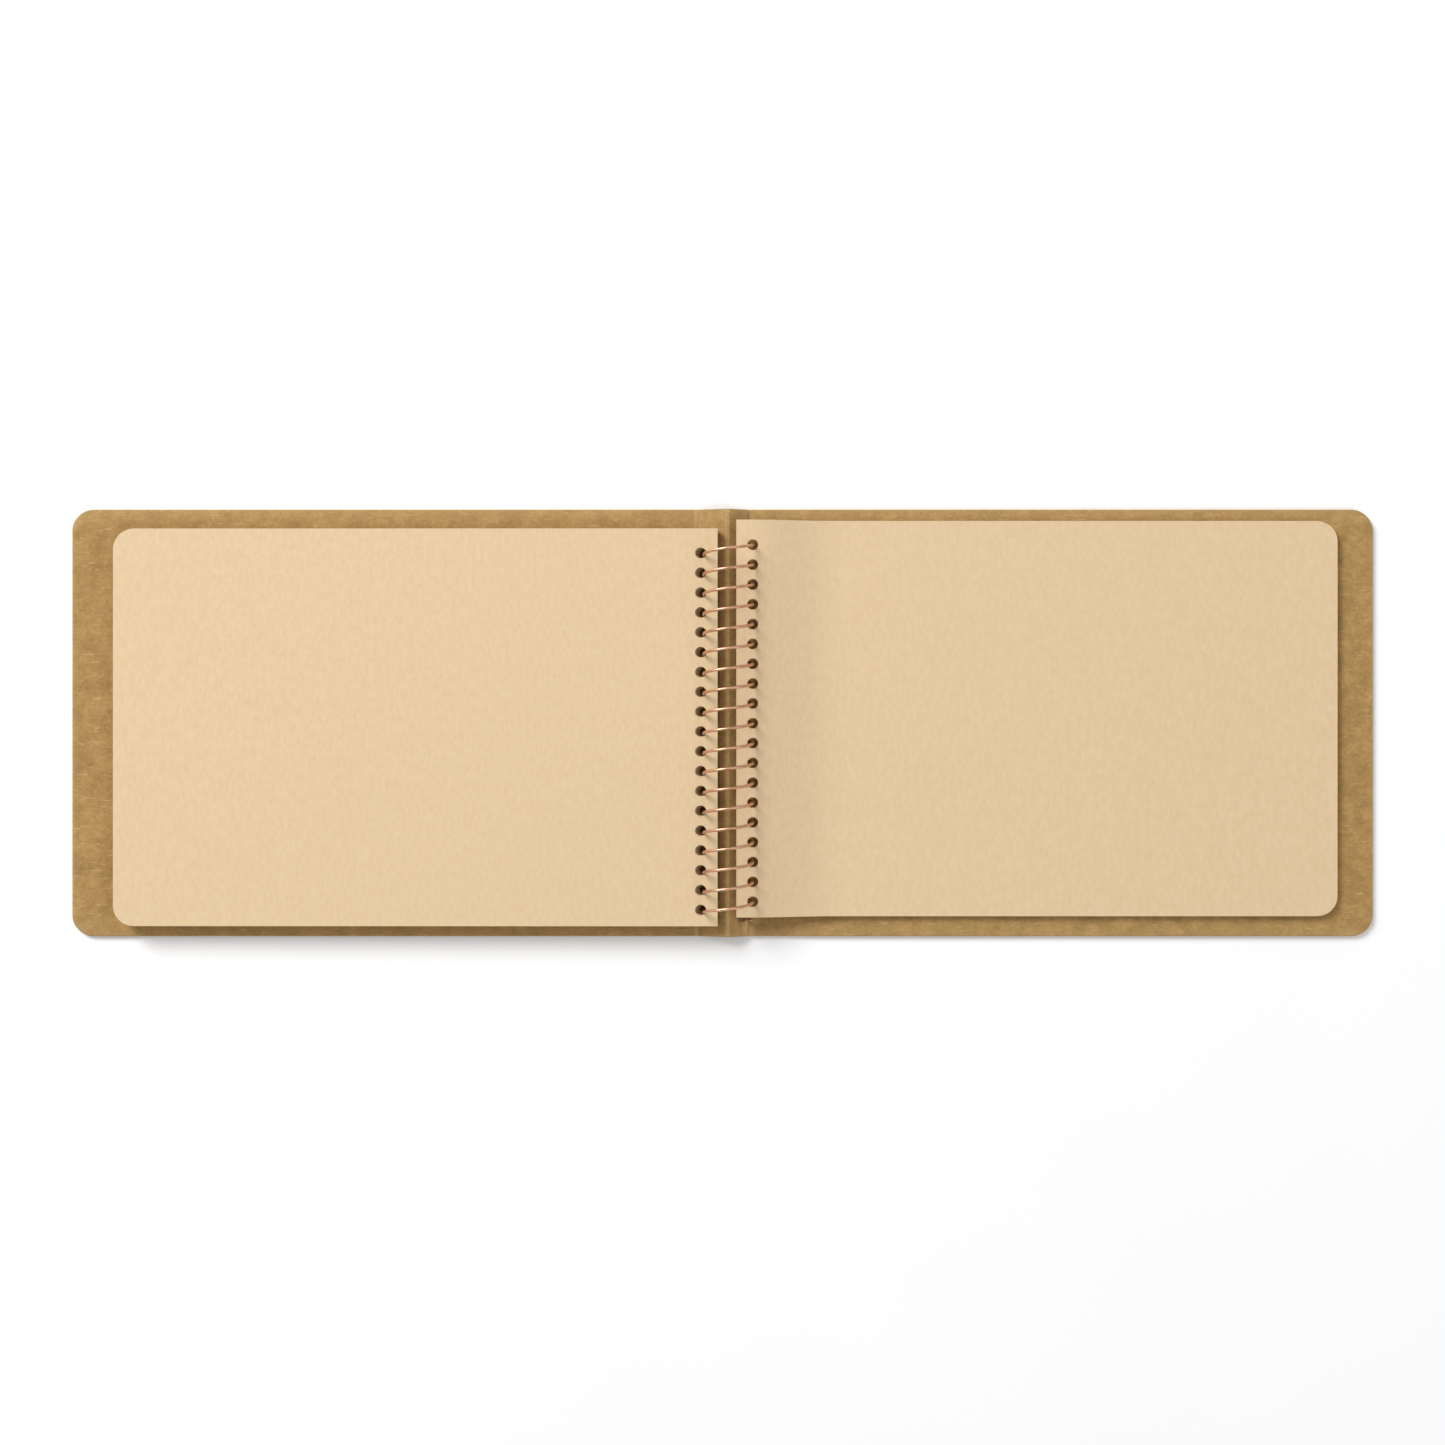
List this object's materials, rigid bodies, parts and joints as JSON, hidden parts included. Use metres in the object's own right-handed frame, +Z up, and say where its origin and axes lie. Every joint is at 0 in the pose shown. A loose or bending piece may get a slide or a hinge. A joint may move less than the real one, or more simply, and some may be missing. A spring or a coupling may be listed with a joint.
{
  "type": "sketchbook",
  "caption": "Wire-bound landscape sketchbook with kraft cover boards, lying open; covers fold up at the spine creases and leaves turn about the wire.",
  "frame": {"origin": "centre of the open sketchbook's footprint, on the surface it lies on", "axes": "+Z up from the table, +X along the open spread to the back cover, +Y along the spine to the head of the pages"},
  "size_m": [0.4204, 0.1378, 0.0169],
  "materials": {
    "kraft_board": "matt, speckled fibre",
    "paper": "matt",
    "wire": "bright rose-copper coating"
  },
  "bodies": {
    "back_board": {"back_cover": "kraft_board"},
    "spine": {"spine_panel": "kraft_board", "wire_coil": "wire"},
    "front_board": {"front_cover": "kraft_board"},
    "right_stack": {"right_pages": "paper"},
    "left_stack": {"left_pages": "paper"},
    "right_second": {"right_leaf_2": "paper"},
    "right_top": {"right_leaf_1": "paper"},
    "left_second": {"left_leaf_2": "paper"},
    "left_top": {"left_leaf_1": "paper"}
  },
  "joints": [
    {"name": "back_crease", "type": "hinge", "parent": "back_board", "child": "spine", "pos_m": [0.00876, 0, 0.00075], "axis": [0, 1, 0], "range_deg": [0, 68]},
    {"name": "front_crease", "type": "hinge", "parent": "spine", "child": "front_board", "pos_m": [-0.0076, 0, 0.00075], "axis": [0, 1, 0], "range_deg": [0, 88]},
    {"name": "right_stack_turn", "type": "hinge", "parent": "spine", "child": "right_stack", "pos_m": [0.0018, 0, 0.00845], "axis": [0, -1, 0], "range_deg": [0, 68]},
    {"name": "left_stack_turn", "type": "hinge", "parent": "spine", "child": "left_stack", "pos_m": [0.0018, 0, 0.00845], "axis": [0, 1, 0], "range_deg": [0, 88]},
    {"name": "right_second_turn", "type": "hinge", "parent": "right_stack", "child": "right_second", "pos_m": [0.0018, 0, 0.00845], "axis": [0, 1, 0], "range_deg": [-86, 0]},
    {"name": "right_top_turn", "type": "hinge", "parent": "right_second", "child": "right_top", "pos_m": [0.0018, 0, 0.00845], "axis": [0, 1, 0], "range_deg": [-86, 0]},
    {"name": "left_second_turn", "type": "hinge", "parent": "left_stack", "child": "left_second", "pos_m": [0.0018, 0, 0.00845], "axis": [0, -1, 0], "range_deg": [-86, 0]},
    {"name": "left_top_turn", "type": "hinge", "parent": "left_second", "child": "left_top", "pos_m": [0.0018, 0, 0.00845], "axis": [0, -1, 0], "range_deg": [-86, 0]}
  ],
  "couplings": [
    {"joint": "right_stack_turn", "follows": "back_crease", "ratio": 1},
    {"joint": "front_crease", "follows": "left_stack_turn", "ratio": 1}
  ]
}
